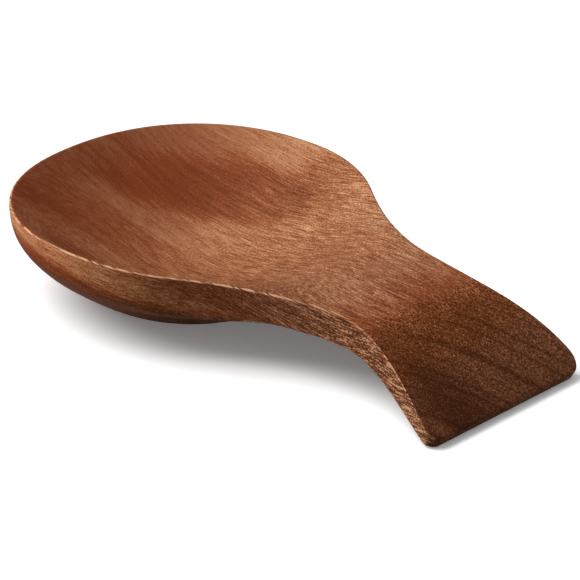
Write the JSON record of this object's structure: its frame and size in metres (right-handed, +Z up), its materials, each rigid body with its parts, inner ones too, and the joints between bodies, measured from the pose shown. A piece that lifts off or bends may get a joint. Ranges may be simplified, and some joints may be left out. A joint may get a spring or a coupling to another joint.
{
  "type": "wooden spoon rest",
  "caption": "Carved wooden spoon rest: a round shallow dish on a flat base runs into a wide waisted handle that arches over the table and sweeps down to a flared end.",
  "frame": {"origin": "middle of the flat base under the bowl, on the table", "axes": "+X from the bowl towards the end of the handle, +Z up, and XZ is the plane of symmetry"},
  "size_m": [0.2108, 0.125, 0.0334],
  "materials": {
    "oiled_acacia": "oiled satin, sanded smooth, open pores"
  },
  "bodies": {
    "root": {"spoon_rest": "oiled_acacia"}
  },
  "joints": []
}
